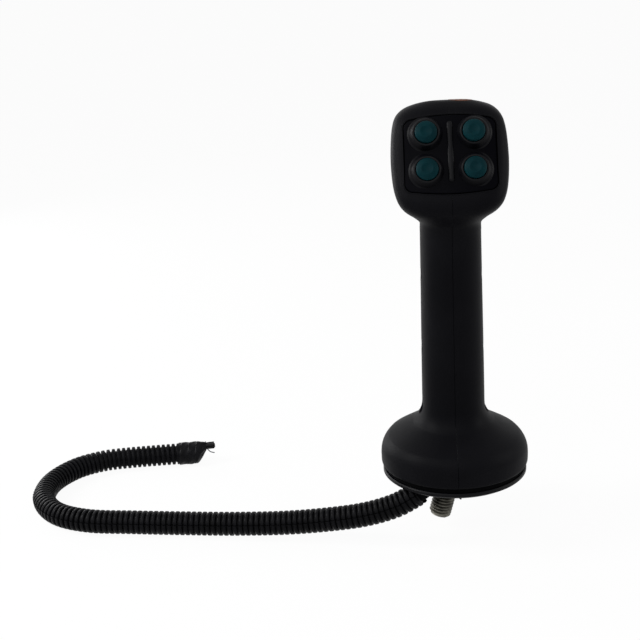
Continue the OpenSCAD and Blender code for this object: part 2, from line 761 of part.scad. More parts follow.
module end_tape() {
    color([0.04, 0.04, 0.04]) at_hose_end() {
        cylinder(d = hose_d + 2 * tape_t, h = tape_l - tape_neck);
        translate([0, 0, tape_l - tape_neck])
            cylinder(d1 = hose_d + 2 * tape_t, d2 = wires_d + 2 * tape_t, h = tape_neck);
    }
}

module wire_ends() {
    color([0.12, 0.12, 0.12]) at_hose_end() translate([0, 0, tape_l]) cylinder(d = wires_d, h = wires_l);
}

left_shell();
right_shell();
button_panel();
button_cap(0);  // button_cap_upper_left
button_cap(1);  // button_cap_upper_right
button_cap(2);  // button_cap_lower_left
button_cap(3);  // button_cap_lower_right
return_spring(0);  // return_spring_upper_left
return_spring(1);  // return_spring_upper_right
return_spring(2);  // return_spring_lower_left
return_spring(3);  // return_spring_lower_right
switch_housings();
switch_terminals();
switch_board();
board_screws();
board_connector();
shell_screws();
shell_nuts();
clamp_core();
mounting_stud();
base_gasket();
base_plate();
base_screws();
conduit_outlet();
wiring_harness();
conduit_hose();
end_tape();
wire_ends();
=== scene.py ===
"""Industrial joystick grip: four sprung push-buttons, an angled stud and a conduit tail."""

from math import asin, atan2, cos, hypot, pi, radians, sin, sqrt, tan

import bpy
from mathutils import Matrix, Vector
from mathutils.bvhtree import BVHTree


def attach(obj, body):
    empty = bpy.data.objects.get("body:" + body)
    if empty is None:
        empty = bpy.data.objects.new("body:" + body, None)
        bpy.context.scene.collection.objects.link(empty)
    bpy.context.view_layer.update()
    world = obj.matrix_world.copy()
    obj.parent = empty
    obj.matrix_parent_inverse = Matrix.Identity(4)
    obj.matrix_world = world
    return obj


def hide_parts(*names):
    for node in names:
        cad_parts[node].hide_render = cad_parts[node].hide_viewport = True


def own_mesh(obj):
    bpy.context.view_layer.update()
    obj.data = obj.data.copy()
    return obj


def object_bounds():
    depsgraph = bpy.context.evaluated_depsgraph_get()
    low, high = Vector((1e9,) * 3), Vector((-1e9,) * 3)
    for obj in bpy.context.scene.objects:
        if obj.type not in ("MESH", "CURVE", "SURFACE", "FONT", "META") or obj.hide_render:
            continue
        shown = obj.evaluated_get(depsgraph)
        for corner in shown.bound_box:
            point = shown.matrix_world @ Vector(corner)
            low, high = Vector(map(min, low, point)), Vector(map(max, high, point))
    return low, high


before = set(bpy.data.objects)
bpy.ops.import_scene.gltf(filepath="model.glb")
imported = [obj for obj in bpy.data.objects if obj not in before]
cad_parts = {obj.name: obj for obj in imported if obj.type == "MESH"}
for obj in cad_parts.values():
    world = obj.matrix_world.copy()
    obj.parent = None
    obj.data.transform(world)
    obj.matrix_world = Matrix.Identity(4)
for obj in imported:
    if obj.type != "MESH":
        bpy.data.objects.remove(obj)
cad_low, cad_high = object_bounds()
MM = 0.001

# ---------------------------------------------------------------------------
# Camera: it stands in front of the buttons, a little to the left and about
# 25 degrees above the foot, and leans slightly to one side.
camera_place = Vector((-27.921, -592.067, 276.392)) * MM
camera_pitch = radians(17.56)
camera_yaw = radians(3.668)
camera_roll = radians(-3.0)
level_right = Vector((cos(camera_yaw), sin(camera_yaw), 0))
forward = Vector((-sin(camera_yaw) * cos(camera_pitch), cos(camera_yaw) * cos(camera_pitch),
                  -sin(camera_pitch)))
level_down = forward.cross(level_right)
right = level_right * cos(camera_roll) - level_down * sin(camera_roll)
down = level_right * sin(camera_roll) + level_down * cos(camera_roll)
camera = bpy.data.objects.new("camera", bpy.data.cameras.new("camera"))
camera.data.lens = 67.5
camera.data.sensor_width = 36
camera.data.clip_start = 0.01
camera.data.clip_end = 20
camera_turn = Matrix((right, -down, -forward)).transposed().to_4x4()
camera.matrix_world = Matrix.Translation(camera_place) @ camera_turn
bpy.context.scene.collection.objects.link(camera)
bpy.context.scene.camera = camera


# ---------------------------------------------------------------------------
# Conduit: split corrugated loom tubing of black polyethylene, extruded and
# vacuum-formed into rings, then slit along one side so that wires can be laid in.
class Value:
    """One output of a node; a sum or product of values adds a Math node."""

    def __init__(self, finish, socket):
        self.finish = finish
        self.socket = socket

    def maths(self, operation, *sides):
        return self.finish.node("ShaderNodeMath", {"operation": operation}, *sides)

    def __add__(self, other):
        return self.maths("ADD", self, other)

    def __radd__(self, other):
        return self.maths("ADD", other, self)

    def __mul__(self, other):
        return self.maths("MULTIPLY", self, other)

    def __rmul__(self, other):
        return self.maths("MULTIPLY", other, self)


class Finish:
    """A surface's material: constants sit on the shader's own sockets, links carry what varies."""

    def __init__(self, name, **constants):
        self.material = bpy.data.materials.new(name)
        self.material.use_nodes = True
        self.tree = self.material.node_tree
        self.shader = self.tree.nodes["Principled BSDF"]
        self.set(**constants)

    def feed(self, socket, value):
        if isinstance(value, Value):
            self.tree.links.new(value.socket, socket)
        else:
            socket.default_value = value

    def node(self, kind, settings, *inputs, out=0, **named):
        made = self.tree.nodes.new(kind)
        for key, value in settings.items():
            if key == "stops":
                ramp = made.color_ramp
                while len(ramp.elements) < len(value):
                    ramp.elements.new(0.5)
                for stop, (place, shade) in zip(ramp.elements, value):
                    stop.position = place
                    stop.color = (shade, shade, shade, 1)
            else:
                setattr(made, key, value)
        for socket, value in zip(made.inputs, inputs):
            self.feed(socket, value)
        for key, value in named.items():
            self.feed(made.inputs[key], value)
        return Value(self, made.outputs[out])

    def set(self, **sockets):
        for key, value in sockets.items():
            self.feed(self.shader.inputs[key.replace("_", " ")], value)

    def place(self):
        return self.node("ShaderNodeTexCoord", {}, out="Object")

    def noise(self, scale, detail=2, where=None, roughness=0.5):
        return self.node("ShaderNodeTexNoise", {}, Vector=where or self.place(), Scale=scale, Detail=detail,
                         Roughness=roughness)

    def ramp(self, value, *stops):
        return self.node("ShaderNodeValToRGB", {"stops": stops}, Fac=value)

    def blend(self, share, first, second):
        made = self.tree.nodes.new("ShaderNodeMix")
        made.data_type = "RGBA"
        self.feed(made.inputs[0], share)
        self.feed(made.inputs[6], first)
        self.feed(made.inputs[7], second)
        return Value(self, made.outputs[2])

    def bump(self, height, depth, strength=1.0):
        self.set(Normal=self.node("ShaderNodeBump", {}, Strength=strength, Distance=depth, Height=height))

    def paint(self, *objects):
        for painted in objects:
            painted.data.materials.clear()
            painted.data.materials.append(self.material)


def colour(code):
    """A paint chip's six-digit code as the linear colour that a shader takes."""
    parts = [int(code[i:i + 2], 16) / 255 for i in (0, 2, 4)]
    return tuple(c / 12.92 if c <= 0.04045 else ((c + 0.055) / 1.055) ** 2.4 for c in parts) + (1,)


def take(piece):
    """Makes one object the only selected and active one."""
    for other in bpy.context.selected_objects:
        other.select_set(False)
    piece.hide_set(False)
    piece.select_set(True)
    bpy.context.view_layer.objects.active = piece
    return piece


def edit(piece):
    """Opens a piece's mesh with all of it selected."""
    take(piece)
    bpy.ops.object.mode_set(mode="EDIT")
    bpy.ops.mesh.select_all(action="SELECT")


def tidy(piece, smooth=40, merge=0.01, turn=True):
    """Merges doubles, turns the faces out, and shades smooth up to an angle."""
    edit(piece)
    bpy.ops.mesh.remove_doubles(threshold=merge * MM)
    if turn:
        bpy.ops.mesh.normals_make_consistent(inside=False)
    bpy.ops.object.mode_set(mode="OBJECT")
    bpy.ops.object.shade_smooth_by_angle(angle=radians(smooth))
    return piece


def bake(piece):
    """Applies a piece's modifiers in order."""
    take(piece)
    for modifier in list(piece.modifiers):
        bpy.ops.object.modifier_apply(modifier=modifier.name)
    return piece


def linked(made):
    """Adds a new object to the scene."""
    bpy.context.scene.collection.objects.link(made)
    return made


def named(name):
    """The active object under a piece's name, with its place moved into its mesh."""
    piece = take(bpy.context.object)
    piece.name = name
    piece.data.name = name
    bpy.ops.object.transform_apply(location=True, rotation=True, scale=True)
    return piece


def joined(name, *parts):
    """Several meshes as one piece."""
    take(parts[0])
    for part in parts[1:]:
        part.select_set(True)
    bpy.ops.object.join()
    return named(name)


def curve_points(rows, steps):
    """A smooth curve through rows of numbers, with steps points to each gap."""
    found = []
    for i in range(len(rows) - 1):
        a, b, c, d = rows[max(0, i - 1)], rows[i], rows[i + 1], rows[min(len(rows) - 1, i + 2)]
        for k in range(steps):
            t = k / steps
            found.append([0.5 * (2 * q + (r - p) * t + (2 * p - 5 * q + 4 * r - s) * t * t
                                 + (3 * q - p - 3 * r + s) * t ** 3) for p, q, r, s in zip(a, b, c, d)])
    return found + [list(rows[-1])]


conduit_d = 13.0
conduit_valley_d = 10.0
ring_pitch = 3.05
conduit_route = [
    (-19, -20, -2.4), (-30, -19.5, -8.8), (-46, -17.5, -14.5), (-66, -14, -18.8),
    (-90, -10.5, -22), (-118, -7, -23.7), (-146, -4.5, -24), (-174, -2, -24),
    (-200, 1, -24), (-220, 10.5, -24), (-232.5, 28.5, -24), (-234, 50.5, -24),
    (-225, 70, -24), (-210.5, 81, -24), (-193, 85.5, -24), (-163, 89.5, -24)]
mouth_reach = 1.5
conduit_line = [Vector(p) * MM for p in curve_points(conduit_route, 12)]
conduit_line.insert(0, conduit_line[0] + (conduit_line[0] - conduit_line[1]).normalized() * mouth_reach * MM)
conduit_length = sum((b - a).length for a, b in zip(conduit_line, conduit_line[1:]))
ring_count = round(conduit_length / (ring_pitch * MM))

route = bpy.data.curves.new("route", "CURVE")
route.dimensions = "3D"
route.twist_mode = "Z_UP"
spline = route.splines.new("POLY")
spline.points.add(len(conduit_line) - 1)
for point, place in zip(spline.points, conduit_line):
    point.co = (*place, 1)
route = linked(bpy.data.objects.new("route", route))

# One ring: a share of the pitch and of the ring's height, and the slit's lips
ring_shape = [(0, 0), (0.2, 0), (0.28, 0.08), (0.33, 0.55), (0.39, 0.93), (0.48, 1), (0.82, 1),
              (0.91, 0.93), (0.97, 0.55), (1.0, 0.04)]
slit_angle = 164
lips = [(-4.5, 0), (-2.2, -0.1), (-0.7, -0.75), (0.7, -0.75), (1.6, 0.22), (5, 0.1)]
lips_reach, ring_sides = 12, 33
ring_angles = [(slit_angle + a, r) for a, r in lips]
ring_angles += [(slit_angle + lips_reach + k * (360 - 2 * lips_reach) / ring_sides, 0)
                for k in range(ring_sides + 1)]
bpy.ops.mesh.primitive_grid_add(x_subdivisions=len(ring_shape) - 1, y_subdivisions=len(ring_angles), size=1)
conduit = named("split_conduit")
pitch = conduit_length / ring_count
for vertex in conduit.data.vertices:
    step = round((vertex.co.x + 0.5) * (len(ring_shape) - 1))
    side = round((vertex.co.y + 0.5) * len(ring_angles)) % len(ring_angles)
    angle, lip = ring_angles[side]
    radius = (conduit_valley_d + (conduit_d - conduit_valley_d) * ring_shape[step][1]) / 2 + lip
    vertex.co = (pitch * ring_shape[step][0], -radius * MM * cos(radians(angle)),
                 radius * MM * sin(radians(angle)))
array = conduit.modifiers.new("rings", "ARRAY")
array.use_relative_offset = False
array.use_constant_offset = True
array.constant_offset_displace = (pitch, 0, 0)
array.count = ring_count
bake(conduit)
tidy(conduit, 45)
follow = conduit.modifiers.new("along", "CURVE")
follow.object = route
follow.deform_axis = "POS_X"
bake(conduit)
bpy.data.objects.remove(route)
tidy(conduit, 50, turn=False)

loom = Finish("loom_polyethylene", Roughness=0.38, Specular_IOR_Level=0.05)
dust = loom.ramp(loom.noise(55, 3), (0.35, 0), (0.75, 1))
loom.set(Base_Color=loom.blend(dust, colour("08080a"), colour("0e0e11")),
         Roughness=0.34 + 0.14 * loom.noise(240, 2))
loom.bump(loom.noise(900, 3), 0.00004, 0.5)
loom.paint(conduit)
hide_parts("conduit_hose")
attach(conduit, "handle")

# ---------------------------------------------------------------------------
# Tape at the conduit's far end: black vinyl tape wound on in overlapping turns
# and pinched down on the wires, so that the loom doesn't creep back.
tape_length = 17.0
tape_t = 0.5
tape_turn = 4.6
tape_pinch = 6.0
tail = (conduit_line[-1] - conduit_line[-2]).normalized()
tail_side = Vector((0, 0, 1)).cross(tail)
tail_frame = Matrix((tail, tail_side, Vector((0, 0, 1)))).transposed().to_4x4()
tail_frame.translation = conduit_line[-1]


def wrapped(name, along, around, place, closed=True):
    """A sheet laid round a form: place gives a point for a share of the way along and round."""
    bpy.ops.mesh.primitive_grid_add(x_subdivisions=along, y_subdivisions=around, size=1)
    sheet = named(name)
    for vertex in sheet.data.vertices:
        u, v = vertex.co.x + 0.5, vertex.co.y + 0.5
        vertex.co = place(u, v % 1 if closed and v > 1 - 1e-6 else v)
    return tidy(sheet)


def tape_point(u, v):
    x = u * tape_length - 0.6
    lap = (x / tape_turn - v) % 1
    pinch = max(0, (x - (tape_length - 0.6 - tape_pinch)) / tape_pinch)
    radius = conduit_d / 2 + tape_t * (0.45 + 0.5 * min(1, (1 - lap) * 1.05) * min(1, lap * 14))
    radius += 0.12 * sin(2 * pi * (v * 3 + 0.13 * x)) + 0.1 * sin(2 * pi * (v * 7 - 0.21 * x))
    radius *= 1 - 0.62 * pinch ** 1.4
    radius += pinch * (0.4 * sin(2 * pi * v * 5 + 1) + 0.22 * sin(2 * pi * v * 9 + x))
    lift = 4.1 * pinch ** 1.2
    angle = 2 * pi * v
    return Vector((x, -radius * cos(angle), radius * sin(angle) * (1 - 0.1 * pinch) + lift)) * MM


tape = wrapped("tape_wrap", 90, 96, tape_point)
edit(tape)
bpy.ops.mesh.select_mode(type="EDGE")
bpy.ops.mesh.select_all(action="DESELECT")
bpy.ops.mesh.select_non_manifold()
bpy.ops.mesh.edge_face_add()
bpy.ops.object.mode_set(mode="OBJECT")
tape.data.transform(tail_frame)
tidy(tape, 50)
vinyl = Finish("vinyl_tape", Roughness=0.32, Specular_IOR_Level=0.06)
vinyl.set(Base_Color=vinyl.blend(vinyl.ramp(vinyl.noise(120, 3), (0.4, 0), (0.8, 1)), colour("0b0b0d"),
                                 colour("121215")),
          Roughness=0.28 + 0.2 * vinyl.noise(300, 2))
vinyl.bump(vinyl.noise(700, 3), 0.00008, 0.5)
vinyl.paint(tape)
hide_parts("end_tape")
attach(tape, "handle")

# ---------------------------------------------------------------------------
# Loose ends of the wires: five stranded wires in black and dark jackets, cut
# square just past the tape, and one thin grey strand that sticks out below.
wire_start = tape_length - 7
wire_reach = tape_length + 4.8
core_r, core_reach, strand_r = 0.42, 0.08, 0.32
wire_plan = [(0, 0, 0.95, "0a0a0c"), (1.25, 0.75, 0.85, "101013"), (-1.2, 0.8, 0.85, "0a0a0c"),
             (0.75, -1.25, 0.85, "17110f"), (-0.9, -1.15, 0.85, "0a0a0c")]


def tube(name, line, radius, sides=12):
    """A round wire along a line of points, closed at both ends."""
    path = bpy.data.curves.new(name, "CURVE")
    path.dimensions = "3D"
    path.bevel_depth = radius
    path.bevel_resolution = max(0, sides // 4 - 1)
    path.use_fill_caps = True
    made = path.splines.new("POLY")
    made.points.add(len(line) - 1)
    for point, place in zip(made.points, line):
        point.co = (*place, 1)
    take(linked(bpy.data.objects.new(name, path)))
    bpy.ops.object.convert(target="MESH")
    return tidy(named(name), 45)


wire_pieces = []
for index, (across, up, radius, jacket) in enumerate(wire_plan):
    reach = wire_reach - 0.5 * (index % 3)
    line = [(wire_start, across * 0.7, up * 0.7 + 2.4), (wire_start + 5, across * 0.9, up * 0.9 + 3.4),
            (tape_length, across, up + 4.1), (reach, across * 1.04, up * 1.04 + 4.3)]
    line = [tail_frame @ (Vector(p) * MM) for p in curve_points(line, 5)]
    wire = tube(f"jacket_{index}", line, radius * MM, 16)
    coat = Finish(f"wire_jacket_{index}", Base_Color=colour(jacket), Roughness=0.42, Specular_IOR_Level=0.15)
    coat.bump(coat.noise(600, 2), 0.00003, 0.4)
    coat.paint(wire)
    core_end = line[-1] + (line[-1] - line[-2]).normalized() * core_reach * MM
    core = tube(f"strands_{index}", [line[-2], core_end], core_r * MM, 12)
    bare = Finish(f"bare_copper_{index}", Base_Color=colour("4a3424"), Metallic=1.0, Roughness=0.45)
    bare.bump(bare.noise(1500, 1), 0.00004, 0.6)
    bare.paint(core)
    wire_pieces += [wire, core]
strand_line = [(tape_length - 4, 0.6, 1.2), (tape_length - 0.5, 0.9, 1.6), (tape_length + 1.6, 1.0, -0.6),
               (tape_length + 4.2, 0.8, -1.4)]
strand_line = [tail_frame @ (Vector(p) * MM) for p in curve_points(strand_line, 6)]
strand = tube("stray_strand", strand_line, strand_r * MM, 8)
grey = Finish("grey_strand", Base_Color=colour("5b6068"), Roughness=0.5)
grey.bump(grey.noise(900, 2), 0.00003, 0.4)
grey.paint(strand)
wires = joined("cut_wires", *wire_pieces, strand)
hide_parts("wire_ends")
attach(wires, "handle")

# ---------------------------------------------------------------------------
# Shells: two halves of black glass-filled nylon, injection moulded with a fine
# spark-eroded grain, and clamped together across the handle by three screws.
axis_x = 2.2
onto_axis = Matrix.Translation((axis_x * MM, 0, 0))
foot_z, rim_top = 8.7, 14.3
bell_r, grip_r = 38.8, 16.3
shoulder_r, flare_r, slope = 12.0, 14.0, 60.0
grip_front, grip_back = 17.2, 18.0
head_r, head_back, head_z, handle_top = 28.9, 19.0, 172.0, 198.4
grip_top_r = 15.4
panel_z, panel_front, panel_lean = 176.2, 14.2, radians(26)
shell_wall = 2.6
seam_half, seam_bevel = 0.03, 0.16
head_up = handle_top - head_z
turned_in = 1 - cos(radians(slope))
straight_rise = ((bell_r - shoulder_r * turned_in) - (grip_r + flare_r * turned_in)) / tan(radians(slope))
flare_top = rim_top + shoulder_r * sin(radians(slope)) + straight_rise + flare_r * sin(radians(slope))


def face_y(z):
    return panel_front - (z - panel_z) * tan(panel_lean)


def bell_row(z, r):
    share = max(0, min(1, (z - rim_top) / (flare_top - rim_top)))
    return [z, r, r + (grip_front - grip_r) * share, r + (grip_back - grip_r) * share, 2 + 0.3 * share]


# Level, half width, reach to the front, reach to the back, squareness
shell_rows = [bell_row(foot_z + rise, bell_r - inset)
              for rise, inset in ((0, 0.5), (0.5, 0.2), (1.4, 0.04), (3.2, 0))]
shell_rows += [bell_row(rim_top + shoulder_r * sin(radians(a)), bell_r - shoulder_r * (1 - cos(radians(a))))
               for a in range(0, 61, 15)]
shell_rows += [bell_row(flare_top - flare_r * sin(radians(a)), grip_r + flare_r * (1 - cos(radians(a))))
               for a in range(60, -1, -15)]
shell_rows += [
    bell_row(flare_top + 5, grip_r - 0.04), bell_row(flare_top + 12, grip_r - 0.1),
    [75, grip_top_r + 0.6, grip_front - 0.1, grip_back - 0.2, 2.3],
    [110, grip_top_r + 0.2, grip_front - 0.3, grip_back - 0.4, 2.3],
    [130, grip_top_r, grip_front - 0.2, grip_back - 0.4, 2.3],
    [135, grip_top_r, grip_front + 0.2, grip_back - 0.4, 2.33],
    [139.5, grip_top_r + 0.2, grip_front + 1.6, grip_back - 0.4, 2.5],
    [143, grip_top_r + 3.2, grip_front + 4.6, grip_back - 0.3, 2.7],
    [146.5, head_r - 6, grip_front + 7.6, grip_back - 0.1, 3.1],
    [150, head_r - 3.4, face_y(150) - 1.2, grip_back + 0.2, 3.7]]
crown_narrow, crown_in, ridge_half = 22.5, 14.8, 0.08
# Level, narrowing, set-back from the face's plane, set-in of the back, squareness
head_rows = [
    [154, 1.8, 0, 0.4, 4.2], [159, 0.7, 0, 0.1, 4.5], [165.5, 0.1, 0, 0, 4.5], [head_z, 0, 0, 0, 4.5],
    [head_z + head_up * 0.32, 0.5, 0, 0, 4.5], [head_z + head_up * 0.53, 1.3, 0, 0.3, 4.3],
    [head_z + head_up * 0.68, 2.6, 0.1, 1, 4], [head_z + head_up * 0.79, 4.9, 0.6, 2.1, 3.6],
    [head_z + head_up * 0.88, 8.4, 1.6, 4.6, 3.1], [head_z + head_up * 0.95, 13.8, 3.4, 7.8, 2.6],
    [head_z + head_up * 0.99, 19, 5.2, 11.4, 2.2], [handle_top, crown_narrow, 7.4, crown_in, 2]]
shell_rows += [[z, head_r - narrow, face_y(z) - back, head_back - in_, square]
               for z, narrow, back, in_, square in head_rows]
shell_levels = curve_points(shell_rows, 5)
ridge_y = head_back - crown_in - ridge_half
shell_levels.append([handle_top, head_r - crown_narrow - 0.1, -ridge_y, ridge_y, 2])


def half_outline(level, count):
    """Evenly spaced points down one half of a level section, from the front seam to the back."""
    z, half_width, front, back, square = level
    middle, reach = (back - front) / 2, (back + front) / 2
    dense = []
    for k in range(721):
        angle = radians(-90 + k / 4)
        c, d = cos(angle), sin(angle)
        dense.append((half_width * abs(c) ** (2 / square),
                      middle + reach * (1 if d > 0 else -1) * abs(d) ** (2 / square)))
    lengths = [0]
    for a, b in zip(dense, dense[1:]):
        lengths.append(lengths[-1] + hypot(b[0] - a[0], b[1] - a[1]))
    found, k = [], 0
    for i in range(count + 1):
        goal = lengths[-1] * i / count
        while k < len(dense) - 2 and lengths[k + 1] < goal:
            k += 1
        gap = lengths[k + 1] - lengths[k] or 1
        t = (goal - lengths[k]) / gap
        found.append((dense[k][0] + (dense[k + 1][0] - dense[k][0]) * t,
                      dense[k][1] + (dense[k + 1][1] - dense[k][1]) * t))
    return found


around = 56
outlines = [half_outline(level, around) for level in shell_levels]


def shell_point(u, v):
    """The outer skin of the right half; its edge columns turn in to bevel the seam."""
    row = round(u * (len(shell_levels) - 1))
    column = round(v * (around + 2))
    points, z = outlines[row], shell_levels[row][0]
    if column in (0, around + 2):
        x, y = points[0] if column == 0 else points[-1]
        return Vector((seam_half, y + (seam_bevel if column == 0 else -seam_bevel), z)) * MM
    x, y = points[column - 1]
    if column == 1 or column == around + 1:
        x = min(points[1][0] if column == 1 else points[-2][0], seam_half + seam_bevel)
    return Vector((max(x, seam_half), y, z)) * MM


def rounded_outline(width, height, corner, bow, count=10):
    """The panel's outline: bowed top and bottom edges that run round into the straight sides."""
    side = width / 2 - corner
    turn = asin(side / (bow - corner))
    centre = bow - height / 2
    half = [(side + corner * cos(a), sqrt((bow - corner) ** 2 - side ** 2) - centre + corner * sin(a))
            for a in [(pi / 2 - turn) * k / count for k in range(count + 1)]]
    half += [(bow * sin(turn * (1 - k / 8)), bow * cos(turn * (1 - k / 8)) - centre) for k in range(1, 16)]
    half += [(-x, y) for x, y in half[:count + 1][::-1]]
    return [(x, y + panel_sink) for x, y in half] + [(-x, panel_sink - y) for x, y in half]


def prism(name, outline, low, high):
    """A closed prism over an outline, from one level to another."""
    shape = bpy.data.meshes.new(name)
    count = len(outline)
    shape.from_pydata([(x * MM, y * MM, z * MM) for z in (low, high) for x, y in outline], [],
                      [[k, (k + 1) % count, count + (k + 1) % count, count + k] for k in range(count)]
                      + [list(range(count))[::-1], [count + k for k in range(count)]])
    return linked(bpy.data.objects.new(name, shape))


def twin(model):
    """A copy of a piece, with a mesh of its own."""
    made = model.copy()
    made.data = model.data.copy()
    return linked(made)


def cut(piece, cutter, operation="DIFFERENCE"):
    """Cuts a piece with another, which is then thrown away."""
    modifier = piece.modifiers.new("cut", "BOOLEAN")
    modifier.operation = operation
    modifier.solver = "MANIFOLD"
    modifier.object = cutter
    bake(piece)
    bpy.data.objects.remove(cutter)
    return piece


panel_w, panel_h, panel_corner, panel_bow, panel_crown, panel_sink = 44.6, 39.2, 4.2, 110.0, 150.0, -1.3
panel_gap = 0.4
# Places on the panel: +X to the right, +Y up along it, +Z out of it
panel_frame = (Matrix.Translation(Vector((0, -panel_front, panel_z)) * MM)
               @ Matrix.Rotation(pi / 2 - panel_lean, 4, "X"))
side_screws = [39.0, 73.0, 111.5]
screw_seat = 11.2
head_pocket_r, nut_pocket_r = 3.8, 4.39
boss_r, boss_floor, boss_end, screw_hole_r = 5.3, 3.0, 14.2, 2.3
opening_low, opening_high, past_shell = -11, 12, 60
lip_r, lip_sunk, lip_out, lip_corner = 0.44, 0.3, 0.9, 0.4

skin = wrapped("skin", len(shell_levels) - 1, around + 2, shell_point, closed=False)
outward = sum(p.normal.dot(Vector((1, 0, 0))) * p.area for p in skin.data.polygons)
if outward < 0:
    edit(skin)
    bpy.ops.mesh.flip_normals()
    bpy.ops.object.mode_set(mode="OBJECT")
skin_tree = BVHTree.FromPolygons([v.co.copy() for v in skin.data.vertices],
                                 [tuple(p.vertices) for p in skin.data.polygons])


def rod(radius, start, end, level, sides):
    """A bar across the handle at one level, from start to end of its reach."""
    middle = ((start + end) / 2 * MM, 0, level * MM)
    bpy.ops.mesh.primitive_cylinder_add(vertices=sides, radius=radius * MM, depth=(end - start) * MM,
                                        rotation=(0, pi / 2, 0), location=middle)
    return named("rod")


def moulded_half(name, pocket_sides, pocket_r):
    """One half shell: walled, then opened for the panel and counterbored for the side screws."""
    take(twin(skin))
    half = named(name)
    wall = half.modifiers.new("wall", "SOLIDIFY")
    wall.thickness = shell_wall * MM
    wall.offset = -1
    bake(half)
    for level in side_screws:
        cut(half, rod(boss_r, screw_seat - boss_floor, boss_end, level, 32), "UNION")
    opening = prism("opening", rounded_outline(panel_w + 2 * panel_gap, panel_h + 2 * panel_gap,
                                               panel_corner + panel_gap, panel_bow + panel_gap),
                    opening_low, opening_high)
    opening.data.transform(panel_frame)
    cut(half, opening)
    for level in side_screws:
        cut(half, rod(pocket_r, screw_seat, past_shell, level, pocket_sides))
        cut(half, rod(screw_hole_r, 0, screw_seat + 1, level, 24))
    return tidy(half, 32, 0.002, turn=False)


def edge_bead(name):
    """Rounded lip of the right half round the panel's opening, half sunk in the skin."""
    outline = rounded_outline(panel_w + 2 * panel_gap + lip_out, panel_h + 2 * panel_gap + lip_out,
                              panel_corner + panel_gap + lip_corner, panel_bow + panel_gap, 12)
    line = []
    away = panel_frame.to_3x3() @ Vector((0, 0, 1))
    for x, y in outline:
        if x < seam_half:
            continue
        start = panel_frame @ (Vector((x, y, 30)) * MM)
        hit = skin_tree.ray_cast(start, -away)
        if hit[0] is not None:
            line.append((atan2(x, y), hit[0] - away * lip_sunk * MM))
    line = [place for angle, place in sorted(line, key=lambda pair: pair[0])]
    ends = [Vector((seam_half * MM, p.y, p.z)) for p in (line[0], line[-1])]
    return tube(name, [ends[0]] + line + [ends[1]], lip_r * MM, 12)


right_half = moulded_half("right_half_shell", 6, nut_pocket_r)
left_half = moulded_half("left_half_shell", 40, head_pocket_r)
right_half = joined("right_half_shell", right_half, edge_bead("right_lip"))
left_half = joined("left_half_shell", left_half, edge_bead("left_lip"))
bpy.data.objects.remove(skin)
left_half.data.transform(Matrix.Scale(-1, 4, (1, 0, 0)))
left_half.data.flip_normals()
for half in (left_half, right_half):
    half.data.transform(onto_axis)

nylon = Finish("grained_nylon", Roughness=0.5, Specular_IOR_Level=0.035)
grain = nylon.noise(1500, 3, roughness=0.6)
handled = nylon.ramp(nylon.noise(26, 3), (0.42, 0), (0.7, 1))
nylon.set(Base_Color=nylon.blend(handled, colour("08080b"), colour("0d0d10")),
          Roughness=0.43 + 0.1 * nylon.noise(90, 3) + 0.05 * handled)
nylon.bump(grain, 0.00006, 0.55)
nylon.paint(left_half, right_half)
for half, node in ((left_half, "left_shell"), (right_half, "right_shell")):
    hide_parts(node)
    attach(half, "handle")

# ---------------------------------------------------------------------------
# Button panel: an inset plate of black nylon, crowned from side to side, with a
# conical collar round each button and a slim rib between the two columns.
panel_t = 5.2
rib_w, rib_l, rib_h = 3.0, 30.4, 1.2
pitch_x, pitch_y = 23.0, 18.4
collar_foot, collar_rim, collar_h = 16.9, 12.8, 3.1
cap_bore = 11.4
button_places = {f"{row}_{side}": (x * pitch_x / 2, y * pitch_y / 2)
                 for row, y in (("upper", 1), ("lower", -1)) for side, x in (("left", -1), ("right", 1))}


def crown_z(x):
    return sqrt(panel_crown ** 2 - x * x) - panel_crown


def drawn(name, profile):
    """A profile of (radius, height) pairs as a line of edges beside the upright axis."""
    shape = bpy.data.meshes.new(name)
    shape.from_pydata([(r * MM, 0, z * MM) for r, z in profile],
                      [(k, k + 1) for k in range(len(profile) - 1)], [])
    return linked(bpy.data.objects.new(name, shape))


def spun(name, profile, steps=72, smooth=35):
    """Turns a profile once about the upright axis."""
    turned = drawn(name, profile)
    edit(turned)
    bpy.ops.mesh.spin(steps=steps, angle=2 * pi, center=(0, 0, 0), axis=(0, 0, 1))
    bpy.ops.object.mode_set(mode="OBJECT")
    return tidy(turned, smooth, 0.004)


def fillet(a, corner, b, radius, steps=5):
    """Points round a corner of a profile."""
    a, corner, b = Vector(a), Vector(corner), Vector(b)
    first = corner + (a - corner).normalized() * radius
    second = corner + (b - corner).normalized() * radius
    return [tuple(first.lerp(corner, k / steps).lerp(corner.lerp(second, k / steps), k / steps))
            for k in range(steps + 1)]


# Crowned plate: rings of the outline from the middle out, then round the edge and down
plate_rings = [0.0, 0.25, 0.5, 0.75, 0.9, 0.965]
outline = rounded_outline(panel_w, panel_h, panel_corner, panel_bow, 12)
edge_r = 0.55
rings = []
for share in plate_rings:
    rings.append([(x * share, y * share, crown_z(x * share)) for x, y in outline])
for k in range(0, 7):
    a = radians(15 * k)
    inset = edge_r * (1 - sin(a))
    rings.append([(x * (1 - inset / hypot(x, y)), y * (1 - inset / hypot(x, y)),
                   crown_z(x) - edge_r * (1 - cos(a))) for x, y in outline])
rings.append([(x, y, -panel_t) for x, y in outline])
rings.append([(0, 0, -panel_t) for x, y in outline])


def plate_point(u, v):
    ring = rings[round(u * (len(rings) - 1))]
    return Vector(ring[round(v * len(outline)) % len(outline)]) * MM


